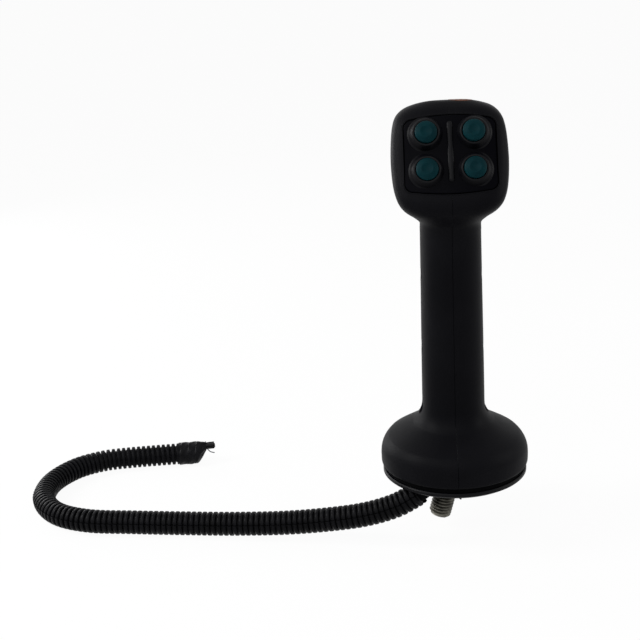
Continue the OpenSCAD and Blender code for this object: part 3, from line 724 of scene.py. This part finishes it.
plate = wrapped("crowned_plate", len(rings) - 1, len(outline), plate_point)
foot_r, rim_r, bore_r = collar_foot / 2, collar_rim / 2, cap_bore / 2
skirt_r, skirt_z, back_z = foot_r + 0.7, -1.6, -panel_t + 0.1
collar_profile = [(skirt_r, skirt_z), (foot_r + 0.6, -0.45)]
collar_profile += fillet((foot_r + 0.6, -0.42), (foot_r, -0.2), (rim_r + 0.25, collar_h), 0.5)
collar_profile += fillet((foot_r, -0.2), (rim_r + 0.16, collar_h), (bore_r, collar_h), 0.34, 6)
collar_profile += fillet((rim_r, collar_h), (bore_r, collar_h), (bore_r, -panel_t), 0.2, 4)
collar_profile += [(bore_r, back_z), (skirt_r, back_z), (skirt_r, skirt_z)]
collars = []
for place, (x, y) in button_places.items():
    bpy.ops.mesh.primitive_cylinder_add(vertices=72, radius=(bore_r + 0.4) * MM, depth=20 * MM,
                                        location=(x * MM, y * MM, 0))
    cut(plate, named("bore"))
    collar = spun(f"collar_{place}", collar_profile)
    collar.data.transform(Matrix.Translation((x * MM, y * MM, crown_z(abs(x)) * MM * 0.9)))
    collars.append(collar)


def rib_point(u, v):
    """Rounded bar: u runs along it and v over its back."""
    half = rib_l / 2
    y = -half + rib_l * (0.5 - 0.5 * cos(pi * u))
    end = sqrt(max(0, 1 - max(0, (abs(y) - (half - rib_w / 2)) / (rib_w / 2)) ** 2))
    a = pi * v
    lift = rib_h * (0.35 + 0.65 * end)
    x = -rib_w / 2 * end * (1 if cos(a) > 0 else -1) * abs(cos(a)) ** 0.75
    return Vector((x, y, lift * end ** 0.5 * sin(a) ** 0.8 - 0.15)) * MM


rib = wrapped("dividing_rib", 60, 20, rib_point, closed=False)
for finish_name, shine, moulded in (("panel_nylon", 0.02, [plate]),
                                    ("rubbed_nylon", 0.09, [*collars, rib])):
    nylon = Finish(finish_name, Roughness=0.4, Specular_IOR_Level=shine)
    nylon.set(Base_Color=nylon.blend(nylon.ramp(nylon.noise(40, 3), (0.4, 0), (0.75, 1)),
                                     colour("030306"), colour("060609")),
              Roughness=0.36 + 0.12 * nylon.noise(130, 3))
    nylon.bump(nylon.noise(1700, 3, roughness=0.6), 0.00004, 0.45)
    for form in moulded:
        nylon.paint(form)
panel = joined("crowned_button_panel", plate, *collars, rib)
take(panel)
bpy.ops.object.shade_smooth_by_angle(angle=radians(35))
panel.data.transform(onto_axis @ panel_frame)
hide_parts("button_panel")
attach(panel, "handle")

# ---------------------------------------------------------------------------
# Button caps: dark teal acetal, each turned smooth with a shallow dish for the
# fingertip; a flange behind the panel holds it in and a stem works the switch.
cap_r, cap_side, cap_dome = 5.4, 3.9, 1.5
dish_r, dish_depth = 2.8, 0.5
flange_r, flange_t, flange_gap = 6.6, 1.0, 0.02
stem_r, stem_length = 1.8, 7.0
flange_face = -panel_t - flange_gap
flange_back = -panel_t - flange_t
stem_end = flange_back - stem_length
cap_top = cap_side + cap_dome
dome_r = (cap_r ** 2 + cap_dome ** 2) / (2 * cap_dome)


def dome_z(r):
    return cap_top - dome_r + sqrt(dome_r ** 2 - r * r)


dish_edge = dome_z(dish_r)
cap_profile = [(r * dish_r / 12, dish_edge - dish_depth * (1 - (r / 12) ** 2)) for r in range(0, 12)]
cap_profile += [(dish_r + 0.06, dome_z(dish_r) - 0.015)]
cap_profile += [(r, dome_z(r)) for r in (3.1, 3.5, 3.9, 4.3, 4.6)]
cap_profile += fillet((4.6, dome_z(4.6)), (cap_r, dome_z(cap_r) + 0.02), (cap_r, 0), 0.55, 7)
cap_profile += [(cap_r, 0), (cap_r, flange_face), (flange_r, flange_face), (flange_r, flange_back)]
cap_profile += [(stem_r, flange_back), (stem_r, stem_end), (0, stem_end)]
cap_model = spun("cap_model", cap_profile, 96, 30)
acetal = Finish("teal_acetal", Roughness=0.42, Specular_IOR_Level=0.04)
acetal.set(Base_Color=acetal.blend(acetal.ramp(acetal.noise(160, 3), (0.35, 0), (0.75, 1)), colour("032126"),
                                   colour("05292e")),
           Roughness=0.38 + 0.12 * acetal.noise(420, 2))
acetal.bump(acetal.noise(1600, 2), 0.00003, 0.4)
for place, (x, y) in button_places.items():
    cap = twin(cap_model)
    cap.name = cap.data.name = f"domed_cap_{place}"
    cap.data.transform(onto_axis @ panel_frame @ Matrix.Translation((x * MM, y * MM, 0)))
    acetal.paint(cap)
    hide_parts(f"button_cap_{place}")
    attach(cap, f"{place}_button")
bpy.data.objects.remove(cap_model)

# ---------------------------------------------------------------------------
# Crown inlay: a thin bare plate of amber plastic let into the top of the right
# shell, glued down, oval in outline and softly rounded at its edge.
inlay_place = Vector((axis_x + 6.3, 6.2))
inlay_reach = (5.9, 4.4)
inlay_t, inlay_wall, above_crown = 0.12, 0.6, 220
shell_tree = BVHTree.FromPolygons([v.co.copy() for v in right_half.data.vertices],
                                  [tuple(p.vertices) for p in right_half.data.polygons])


def inlay_point(u, v):
    """A point of the oval, laid down on the crown."""
    x = inlay_place.x + inlay_reach[0] * u * cos(2 * pi * v)
    y = inlay_place.y + inlay_reach[1] * u * sin(2 * pi * v)
    hit = shell_tree.ray_cast(Vector((x, y, above_crown)) * MM, Vector((0, 0, -1)))
    return hit[0] + hit[1] * inlay_t * MM


inlay = wrapped("crown_inlay", 14, 72, inlay_point)
plate_wall = inlay.modifiers.new("thickness", "SOLIDIFY")
plate_wall.thickness = inlay_wall * MM
plate_wall.offset = -1 if sum(p.normal.z for p in inlay.data.polygons) > 0 else 1
rounding = inlay.modifiers.new("rounding", "BEVEL")
rounding.width = inlay_t * MM
rounding.segments = 2
bake(inlay)
tidy(inlay, 35)
amber = Finish("amber_plastic", Roughness=0.35, Specular_IOR_Level=0.1)
amber.set(Base_Color=amber.blend(amber.noise(90, 3), colour("3a1a0c"), colour("6e3d20")),
          Roughness=0.3 + 0.15 * amber.noise(300, 2))
amber.bump(amber.noise(900, 2), 0.00003, 0.4)
amber.paint(inlay)
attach(inlay, "handle")

# ---------------------------------------------------------------------------
# Side screws: zinc-plated socket screws through the whole handle, sunk in round
# pockets on the left and held by hexagon nuts in the right shell.
side_head_r, side_head_h, side_screw_r = 3.5, 2.4, 2.0
socket_flats, socket_depth = 2.5, 1.5
nut_h, past_nut, side_tip = 3.2, 0.6, 0.5
side_reach = 2 * screw_seat + nut_h + past_nut
head_profile = [(0, side_head_h)]
head_profile += fillet((0, side_head_h), (side_head_r, side_head_h), (side_head_r, 0), 0.7, 5)
head_profile += [(side_head_r, 0), (side_screw_r, 0), (side_screw_r, -side_reach + side_tip),
                 (side_screw_r - side_tip, -side_reach), (0, -side_reach)]
screw_model = spun("screw_model", head_profile, 40, 35)
bpy.ops.mesh.primitive_cylinder_add(vertices=6, radius=socket_flats / sqrt(3) * MM,
                                    depth=2 * socket_depth * MM, location=(0, 0, side_head_h * MM))
cut(screw_model, named("socket"))
tidy(screw_model, 35, 0.002, turn=False)
screws = []
for level in side_screws:
    screw = twin(screw_model)
    seat = Matrix.Translation(Vector((axis_x - screw_seat, 0, level)) * MM)
    screw.data.transform(seat @ Matrix.Rotation(-pi / 2, 4, "Y"))
    screws.append(screw)
bpy.data.objects.remove(screw_model)
socket_screws = joined("socket_side_screws", *screws)
zinc = Finish("bright_zinc", Metallic=1.0, Roughness=0.3)
zinc.set(Base_Color=zinc.blend(zinc.noise(70, 4), colour("a9a79f"), colour("c9c7bd")),
         Roughness=0.24 + 0.22 * zinc.noise(260, 3))
zinc.bump(zinc.noise(1200, 2), 0.00002, 0.4)
zinc.paint(socket_screws)
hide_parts("shell_screws")
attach(socket_screws, "handle")

# ---------------------------------------------------------------------------
# Mounting stud: M12 coarse-thread steel, zinc plated, screwed up into the core
# and left standing at 15 degrees to the plate.
stud_r, stud_free, stud_grip, shank_r = 6.0, 24.5, 24.0, 5.6
stud_chamfer = 1.2
thread_pitch, thread_depth = 1.75, 1.02
stud_tilt = radians(15)
turns = int((stud_free + 2) / thread_pitch) + 2
crest, root = stud_r - 0.04, stud_r - thread_depth
thread_profile = [(root, 0), (root, 0.2), (crest - 0.08, 0.76), (crest, 0.84), (crest, 0.97),
                  (crest - 0.08, 1.05), (root, 1.61), (root, thread_pitch)]
thread = drawn("thread", thread_profile)
winding = thread.modifiers.new("winding", "SCREW")
winding.axis = "Z"
winding.screw_offset = thread_pitch * MM
winding.iterations = turns
winding.steps = 48
winding.render_steps = 48
winding.use_merge_vertices = False
bake(thread)
thread.data.transform(Matrix.Translation((0, 0, (-stud_free - thread_pitch) * MM)))
tidy(thread, 60, 0.002)
for level, normal in ((-stud_free, (0, 0, -1)), (0.0, (0, 0, 1))):
    edit(thread)
    bpy.ops.mesh.bisect(plane_co=(0, 0, level * MM), plane_no=normal, clear_outer=True, use_fill=True)
    bpy.ops.object.mode_set(mode="OBJECT")
for vertex in thread.data.vertices:
    r = hypot(vertex.co.x, vertex.co.y)
    limit = (stud_r - stud_chamfer + max(0, vertex.co.z / MM + stud_free)) * MM
    if r > limit:
        vertex.co.x *= limit / r
        vertex.co.y *= limit / r
tidy(thread, 50, 0.002)
shank_profile = [(0, 0), (shank_r, 0), (shank_r, stud_grip - stud_chamfer),
                 (shank_r - stud_chamfer, stud_grip), (0, stud_grip)]
shank = spun("shank", shank_profile, 48)
stud = joined("threaded_stud", thread, shank)
stud.data.transform(Matrix.Rotation(stud_tilt, 4, "Y"))
# Painted reflections: the stud's zinc colour is darkened to stand in for dark reflections, and the lighter
# noise patches are painted glints.
stud_zinc = Finish("zinc_painted_reflections", Metallic=1.0, Roughness=0.34)
painted_glint_mask = stud_zinc.ramp(stud_zinc.noise(150, 4), (0.35, 0), (0.7, 1))
stud_zinc.set(Base_Color=stud_zinc.blend(painted_glint_mask, colour("2c2b27"), colour("75736b")),
              Roughness=0.3 + 0.22 * stud_zinc.noise(320, 3))
stud_zinc.bump(stud_zinc.noise(900, 3), 0.00003, 0.5)
stud_zinc.paint(stud)
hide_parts("mounting_stud")
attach(stud, "handle")

# ---------------------------------------------------------------------------
# Foot gasket: a moulded ring of black rubber, squeezed between the bell and the
# bottom plate, with its edges a little rounded.
gasket_d, gasket_w, gasket_low, gasket_high = 73.6, 5.0, 5.7, 8.7
gasket_clear, gasket_round = 0.01, 0.35
outer_r = gasket_d / 2
inner_r = outer_r - gasket_w
under, over = gasket_low + gasket_clear, gasket_high - gasket_clear
gasket_profile = [(inner_r, under)]
gasket_profile += fillet((inner_r, under), (outer_r, under), (outer_r, gasket_high), gasket_round)
gasket_profile += fillet((outer_r, gasket_low), (outer_r, over), (0, over), gasket_round)
gasket_profile += [(inner_r, over), (inner_r, under)]
gasket = spun("foot_gasket", gasket_profile, 144)
gasket.data.transform(onto_axis)
rubber = Finish("black_rubber", Roughness=0.8, Specular_IOR_Level=0.02)
rubber.set(Base_Color=rubber.blend(rubber.noise(60, 3), colour("040405"), colour("070708")))
rubber.bump(rubber.noise(900, 3), 0.00008, 0.5)
rubber.paint(gasket)
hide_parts("base_gasket")
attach(gasket, "handle")

# ---------------------------------------------------------------------------
# Bottom plate: moulded in the shells' nylon, with an angled seat for the stud. It
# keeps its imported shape, and a thin rim with one small lug is moulded on below.
nylon.paint(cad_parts["base_plate"])
rim_in, rim_out, rim_low, rim_high, rim_seat = 34.2, 36.0, 2.4, 3.6, 3.52
rim_profile = [(rim_in, rim_seat), (rim_in, rim_low + 0.1)]
rim_profile += fillet((rim_in, rim_low), (rim_out, rim_low), (rim_out, rim_high), 0.55)
rim_profile += [(rim_out, rim_high), (rim_in, rim_seat)]
rim = spun("rim", rim_profile, 144)
rim.data.transform(onto_axis)
lug_place, lug_tilt = Vector((axis_x + 0.8, -35.2, 2.6)), radians(-25)
lug = spun("lug", [(0, 0.5), (0.75, 0.4), (0.7, -0.2), (0.25, -1.1), (0, -1.2)], 20)
lug.data.transform(Matrix.Translation(lug_place * MM) @ Matrix.Rotation(lug_tilt, 4, "Y"))
foot_rim = joined("plate_foot_rim", rim, lug)
nylon.paint(foot_rim)
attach(foot_rim, "handle")

# ---------------------------------------------------------------------------
# Conduit bushing: a short elbow of black rubber with a pull tab, pressed into the
# plate's hole; it leads the wires into the conduit's mouth.
# Place on the elbow's line, and its radius there
bushing_line = curve_points([(-15.0, -20.2, 3.7, 6.1), (-15.0, -20.2, 2.3, 5.9), (-15.7, -20.15, 0.3, 5.1),
                             (-17.4, -20.1, -1.4, 4.7), (-19.0, -20.0, -2.4, 4.6)], 6)


def bushing_point(u, v):
    k = round(u * (len(bushing_line) - 1))
    x, y, z, r = bushing_line[k]
    ahead, behind = bushing_line[min(k + 1, len(bushing_line) - 1)], bushing_line[max(k - 1, 0)]
    along = (Vector(ahead[:3]) - Vector(behind[:3])).normalized()
    side = Vector((0, 1, 0))
    up = along.cross(side).normalized()
    return (Vector((x, y, z)) + side * r * cos(2 * pi * v) + up * r * sin(2 * pi * v)) * MM


bushing = wrapped("bushing", len(bushing_line) - 1, 40, bushing_point)
tab_place, tab_tilt = Vector((-15.3, -20.5, -6.3)), radians(68)
tab = spun("tab", [(0, -0.6), (0.9, -0.4), (1.0, 0.7), (0.55, 1.7), (0, 2.0)], 20)
tab.data.transform(Matrix.Translation(tab_place * MM) @ Matrix.Rotation(tab_tilt, 4, "Y"))
bushing = joined("conduit_bushing", bushing, tab)
rubber.paint(bushing)
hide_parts("conduit_outlet")
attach(bushing, "handle")

# ---------------------------------------------------------------------------
# Bottom plate's screws: four pan-head screws of zinc-plated steel with cross
# recesses, driven up through the plate and the gasket into the shells.
base_screw_circle, base_screw_r, base_head_r, base_head_h, plate_low = 29.0, 1.5, 2.8, 1.8, 3.5
plate_t, bite, base_tip = 2.2, 8.0, 0.6
base_reach = plate_t + (gasket_high - gasket_low) + bite
pan_profile = [(0, -base_head_h)]
pan_profile += [(base_head_r * sin(radians(a)) * 0.99, -base_head_h * (0.45 + 0.55 * cos(radians(a))))
                for a in range(15, 91, 15)]
pan_profile += [(base_head_r, 0), (base_screw_r, 0), (base_screw_r, base_reach - base_tip), (0, base_reach)]
pan_model = spun("pan_model", pan_profile, 40, 40)
for turn in (0, pi / 2):
    bpy.ops.mesh.primitive_cube_add(size=1, location=(0, 0, -base_head_h * MM), rotation=(0, 0, turn))
    bpy.context.object.scale = (3.2 * MM, 0.62 * MM, 1.8 * MM)
    cut(pan_model, named("cross"))
tidy(pan_model, 40, 0.002, turn=False)
pans = []
for angle in (25, 155, 205, 335):
    pan = twin(pan_model)
    seat = Vector((axis_x + base_screw_circle * cos(radians(angle)),
                   base_screw_circle * sin(radians(angle)), plate_low)) * MM
    pan.data.transform(Matrix.Translation(seat) @ Matrix.Rotation(radians(angle * 2), 4, "Z"))
    pans.append(pan)
bpy.data.objects.remove(pan_model)
pan_screws = joined("plate_pan_screws", *pans)
zinc.paint(pan_screws)
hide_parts("base_screws")
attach(pan_screws, "handle")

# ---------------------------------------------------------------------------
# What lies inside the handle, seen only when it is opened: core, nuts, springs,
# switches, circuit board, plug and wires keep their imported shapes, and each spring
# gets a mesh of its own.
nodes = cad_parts
zinc.paint(nodes["shell_nuts"], nodes["board_screws"])
cast = Finish("cast_aluminium", Metallic=1.0, Roughness=0.45)
cast.set(Base_Color=cast.blend(cast.noise(60, 3), colour("8d8f92"), colour("a9abad")),
         Roughness=0.4 + 0.2 * cast.noise(200, 3))
cast.bump(cast.noise(500, 3), 0.0001, 0.5)
cast.paint(nodes["clamp_core"])
spring_steel = Finish("spring_wire", Metallic=1.0, Roughness=0.28)
spring_steel.set(Base_Color=spring_steel.blend(spring_steel.noise(300, 2), colour("9a9a9a"),
                                               colour("bdbdbb")))
spring_steel.paint(*[nodes[f"return_spring_{place}"] for place in button_places])
spring_length, press_travel = 4.6, 2.0
spring_foot = flange_back - spring_length
for place, (x, y) in button_places.items():
    seat = onto_axis @ panel_frame @ (Vector((x, y, spring_foot)) * MM)
    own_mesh(nodes[f"return_spring_{place}"])
switch_case = Finish("switch_plastic", Roughness=0.45)
switch_case.set(Base_Color=switch_case.blend(switch_case.noise(80, 2), colour("232326"), colour("2b2b2f")))
switch_case.bump(switch_case.noise(1200, 2), 0.00003, 0.4)
switch_case.paint(nodes["switch_housings"])
pins = Finish("tinned_copper", Metallic=1.0, Roughness=0.3)
pins.set(Base_Color=pins.blend(pins.noise(400, 2), colour("b98455"), colour("c9c0b0")))
pins.paint(nodes["switch_terminals"])
laminate = Finish("board_laminate", Roughness=0.35, Coat_Weight=0.4)
weave = laminate.node("ShaderNodeTexChecker", {}, Vector=laminate.place(), Scale=900)
laminate.set(Base_Color=laminate.blend(weave, colour("1d5a2e"), colour("226536")))
laminate.paint(nodes["switch_board"])
plug = Finish("plug_plastic", Roughness=0.5)
plug.set(Base_Color=plug.blend(plug.noise(80, 2), colour("d8d4c4"), colour("e4e0d2")))
plug.bump(plug.noise(900, 2), 0.00003, 0.4)
plug.paint(nodes["board_connector"])
sleeve = Finish("harness_sleeve", Roughness=0.5)
sleeve.set(Base_Color=sleeve.blend(sleeve.noise(120, 2), colour("161618"), colour("222225")))
sleeve.bump(sleeve.noise(700, 3), 0.0001, 0.5)
sleeve.paint(nodes["wiring_harness"])

# ---------------------------------------------------------------------------
# Studio: a wide white floor that keeps a soft shadow, a white room, and four soft
# boxes: a strong one at the left, and weaker ones behind it, at the right and in front.
floor_size, floor_gap, floor_glow, room_light = 60, 0.0002, 0.95, 0.35
bpy.ops.mesh.primitive_plane_add(size=floor_size, location=(0, 0, cad_low.z - floor_gap))
floor = named("studio_floor")
paper = Finish("white_paper", Base_Color=(0.9, 0.9, 0.9, 1), Roughness=1.0, Specular_IOR_Level=0.0)
shown = paper.node("ShaderNodeLightPath", {}, out="Is Camera Ray")
for ray in ("Is Glossy Ray", "Is Transmission Ray"):
    shown = shown.maths("MAXIMUM", shown, paper.node("ShaderNodeLightPath", {}, out=ray))
glow = paper.node("ShaderNodeEmission", {}, Color=(1, 1, 1, 1), Strength=1.0)
mixed = paper.node("ShaderNodeMixShader", {}, shown * floor_glow, Value(paper, paper.shader.outputs[0]), glow)
paper.tree.links.new(mixed.socket, paper.tree.nodes["Material Output"].inputs["Surface"])
paper.paint(floor)

world = bpy.data.worlds.new("studio_room")
bpy.context.scene.world = world
world.use_nodes = True
sky = world.node_tree
back = sky.nodes["Background"]
back.inputs["Color"].default_value = (1, 1, 1, 1)
rays = sky.nodes.new("ShaderNodeLightPath")
seen = rays.outputs["Is Camera Ray"]
for ray in ("Is Glossy Ray", "Is Transmission Ray"):
    both = sky.nodes.new("ShaderNodeMath")
    both.operation = "MAXIMUM"
    sky.links.new(seen, both.inputs[0])
    sky.links.new(rays.outputs[ray], both.inputs[1])
    seen = both.outputs[0]
level = sky.nodes.new("ShaderNodeMapRange")
sky.links.new(seen, level.inputs["Value"])
level.inputs["To Min"].default_value = room_light
level.inputs["To Max"].default_value = 1.0
sky.links.new(level.outputs[0], back.inputs["Strength"])


def lamp(name, place, aim, size, power):
    """A soft box that faces a point."""
    made = linked(bpy.data.objects.new(name, bpy.data.lights.new(name, "AREA")))
    made.data.shape = "RECTANGLE"
    made.data.size, made.data.size_y = size
    made.data.energy = power
    made.location = place
    made.rotation_mode = "QUATERNION"
    made.rotation_quaternion = (Vector(place) - Vector(aim)).to_track_quat("Z", "Y")


lamp("left_soft_box", (-0.85, -0.12, 0.66), (0, 0, 0.12), (0.35, 0.5), 7)
lamp("back_soft_box", (-0.72, 0.62, 0.26), (0, 0, 0.1), (0.45, 0.5), 3)
lamp("right_soft_box", (0.9, -0.05, 0.42), (0, 0, 0.12), (0.3, 0.5), 2.5)
lamp("front_soft_box", (-0.3, -0.8, 0.9), (0, 0, 0.1), (0.7, 0.5), 3)
bpy.context.scene.view_settings.view_transform = "Standard"
